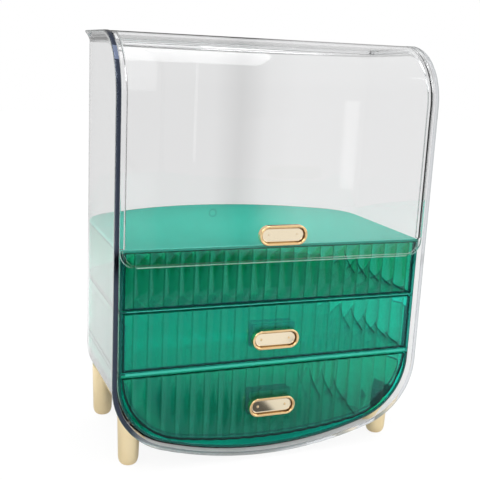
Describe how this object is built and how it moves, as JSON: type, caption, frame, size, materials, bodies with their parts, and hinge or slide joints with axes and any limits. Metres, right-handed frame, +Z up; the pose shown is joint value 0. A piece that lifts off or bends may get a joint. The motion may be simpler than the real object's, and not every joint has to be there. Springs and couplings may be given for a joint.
{
  "type": "dustproof makeup organizer",
  "caption": "Clear dustproof cosmetics case with a hinged front-and-top lid over a green cabinet of fluted drawers with gold finger pulls, on champagne feet.",
  "frame": {"origin": "centre of the bounding box in plan, on the surface that the feet stand on", "axes": "+Z up, +X to the right seen from the front, front (drawers and lid) towards -Y"},
  "size_m": [0.3, 0.2158, 0.383],
  "materials": {
    "clear_plastic": "clear polished, injection moulded",
    "green_plastic": "translucent emerald green, glossy",
    "gold_metal": "mirror-polished pale gold plating",
    "champagne_metal": "satin champagne-gold anodised",
    "steel": "plain ground steel"
  },
  "bodies": {
    "case": {"outer_case": "clear_plastic", "rear_top_cover": "clear_plastic", "hinge_pin_left": "steel", "hinge_pin_right": "steel", "cabinet_shelf": "green_plastic", "cabinet_upper_wall": "green_plastic", "upper_bay_front": "green_plastic", "upper_divider": "green_plastic", "cabinet_middle_wall": "green_plastic", "lower_divider": "green_plastic", "cabinet_base": "green_plastic", "foot_front_left": "champagne_metal", "foot_screw_front_left": "steel", "foot_front_right": "champagne_metal", "foot_screw_front_right": "steel", "foot_rear_left": "champagne_metal", "foot_screw_rear_left": "steel", "foot_rear_right": "champagne_metal", "foot_screw_rear_right": "steel"},
    "lid": {"lid_panel": "clear_plastic", "lid_pull": "gold_metal"},
    "middle_drawer": {"middle_drawer_front": "green_plastic", "middle_drawer_tray": "green_plastic", "middle_drawer_pull": "gold_metal"},
    "lower_drawer": {"lower_drawer_front": "green_plastic", "lower_drawer_tray": "green_plastic", "lower_drawer_pull": "gold_metal"}
  },
  "joints": [
    {"name": "lid_hinge", "type": "hinge", "parent": "case", "child": "lid", "pos_m": [0, 0.01585, 0.3795], "axis": [-1, 0, 0], "range_deg": [0, 100]},
    {"name": "middle_drawer_slide", "type": "slide", "parent": "case", "child": "middle_drawer", "axis": [0, -1, 0], "range_m": [0, 0.13]},
    {"name": "lower_drawer_slide", "type": "slide", "parent": "case", "child": "lower_drawer", "axis": [0, -1, 0], "range_m": [0, 0.13]}
  ]
}
